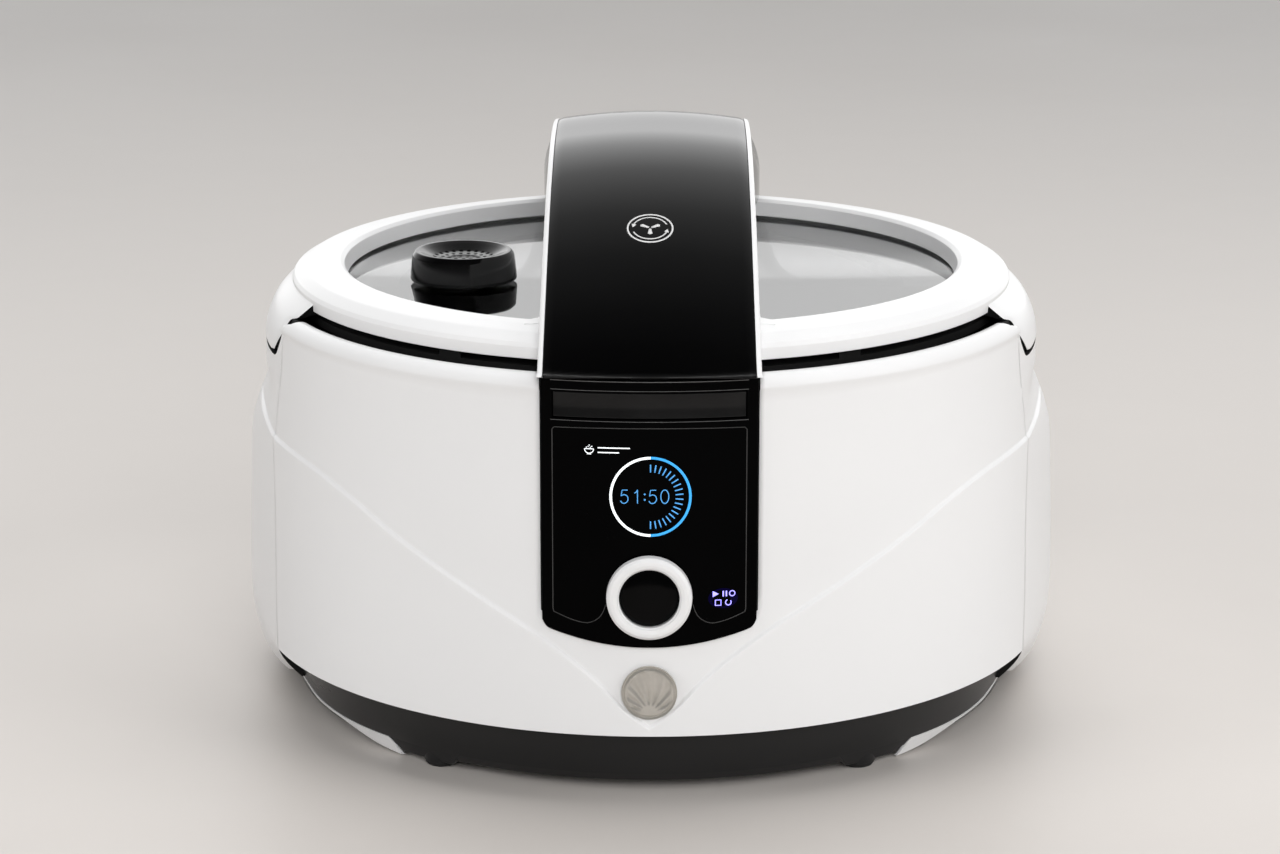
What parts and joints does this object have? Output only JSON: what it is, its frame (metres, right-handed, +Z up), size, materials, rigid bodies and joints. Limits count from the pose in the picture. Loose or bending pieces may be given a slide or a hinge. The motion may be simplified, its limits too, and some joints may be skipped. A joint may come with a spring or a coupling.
{
  "type": "rice cooker",
  "caption": "Round countertop rice cooker with a hinged glass lid, a stirring drive in an arch over the lid, a control panel with a dial and a removable pot.",
  "frame": {"origin": "on the table under the middle of the cooker, at the middle of its footprint box", "axes": "+Z up, front with the control panel towards -Y, +X to the right seen from the front"},
  "size_m": [0.4054, 0.398, 0.281],
  "materials": {
    "white_gloss": "gloss",
    "black_gloss": "mirror gloss",
    "dark_satin": "satin",
    "window_glass": "tinted",
    "touch_light": "translucent",
    "silicone": "matte",
    "foot_rubber": "matte",
    "nonstick": "satin speckle",
    "aluminium": "brushed",
    "steel": "plain",
    "engineering_plastic": "moulded",
    "circuit_board": "solder mask",
    "wire_insulation": "satin"
  },
  "bodies": {
    "body": {"front_shell": "white_gloss", "rear_shell": "white_gloss", "base_skirt": "dark_satin", "bottom_plate": "dark_satin", "rubber_feet": "foot_rubber", "corner_trims": "white_gloss", "upper_rim": "dark_satin", "grip_recesses": "dark_satin", "inner_pot": "nonstick", "heat_shield": "aluminium", "heating_plate": "aluminium", "heater_element": "steel", "plate_supports": "steel", "sensor_cup": "dark_satin", "sensor_spring": "steel", "thermal_fuse": "steel", "power_board": "circuit_board", "wire_harness": "wire_insulation", "control_board": "circuit_board", "display_module": "dark_satin", "panel_cover": "black_gloss", "touch_lens": "touch_light", "encoder": "dark_satin", "badge": "aluminium", "hinge_housing": "white_gloss", "hinge_bracket": "steel", "hinge_pin": "steel", "hinge_spring": "steel", "power_inlet": "dark_satin", "inlet_pins": "steel", "base_screws": "steel", "latch_spring": "steel", "button_spring": "steel"},
    "lid": {"lid_frame": "white_gloss", "lid_glass": "window_glass", "glass_gasket": "silicone", "lid_liner": "dark_satin", "lid_seal": "silicone", "lid_screws": "steel", "spine_housing": "white_gloss", "arch_cover": "black_gloss", "hinge_cover": "black_gloss", "lid_knuckle": "steel", "latch_catch": "steel", "gearbox_plate": "steel", "stir_motor": "dark_satin", "stir_key_board": "circuit_board", "shaft_bush": "engineering_plastic", "vent_grommet": "silicone"},
    "release": {"release_bar": "dark_satin", "latch_hook": "dark_satin"},
    "dial": {"dial_ring": "white_gloss"},
    "button": {"dial_button": "black_gloss"},
    "sensor": {"sensor_plunger": "steel"},
    "stirrer": {"drive_gear": "engineering_plastic", "stir_shaft": "steel", "stir_paddle": "engineering_plastic"},
    "pinion": {"motor_pinion": "engineering_plastic"},
    "vent": {"vent_cap": "dark_satin"}
  },
  "joints": [
    {"name": "lid_hinge", "type": "hinge", "parent": "body", "child": "lid", "pos_m": [0, 0.182, 0.197], "axis": [-1, 0, 0], "range_deg": [0, 92]},
    {"name": "release_press", "type": "slide", "parent": "body", "child": "release", "axis": [0, 1, 0], "range_m": [0, 0.003], "stiffness_N_per_m": 400},
    {"name": "dial_turn", "type": "hinge", "parent": "body", "child": "dial", "pos_m": [0, -0.199, 0.0992], "axis": [0, -1, 0], "continuous": true},
    {"name": "button_press", "type": "slide", "parent": "body", "child": "button", "axis": [0, 1, 0], "range_m": [0, 0.001], "stiffness_N_per_m": 600},
    {"name": "sensor_press", "type": "slide", "parent": "body", "child": "sensor", "axis": [0, 0, -1], "range_m": [0, 0.0015], "stiffness_N_per_m": 500},
    {"name": "stir_turn", "type": "hinge", "parent": "lid", "child": "stirrer", "pos_m": [0, 0, 0.2], "axis": [0, 0, 1], "continuous": true},
    {"name": "pinion_turn", "type": "hinge", "parent": "lid", "child": "pinion", "pos_m": [0, 0.0375, 0.2], "axis": [0, 0, 1], "continuous": true},
    {"name": "vent_lift", "type": "slide", "parent": "lid", "child": "vent", "axis": [0, 0, 1], "range_m": [0, 0.03]}
  ],
  "couplings": [
    {"joint": "pinion_turn", "follows": "stir_turn", "ratio": -4}
  ]
}
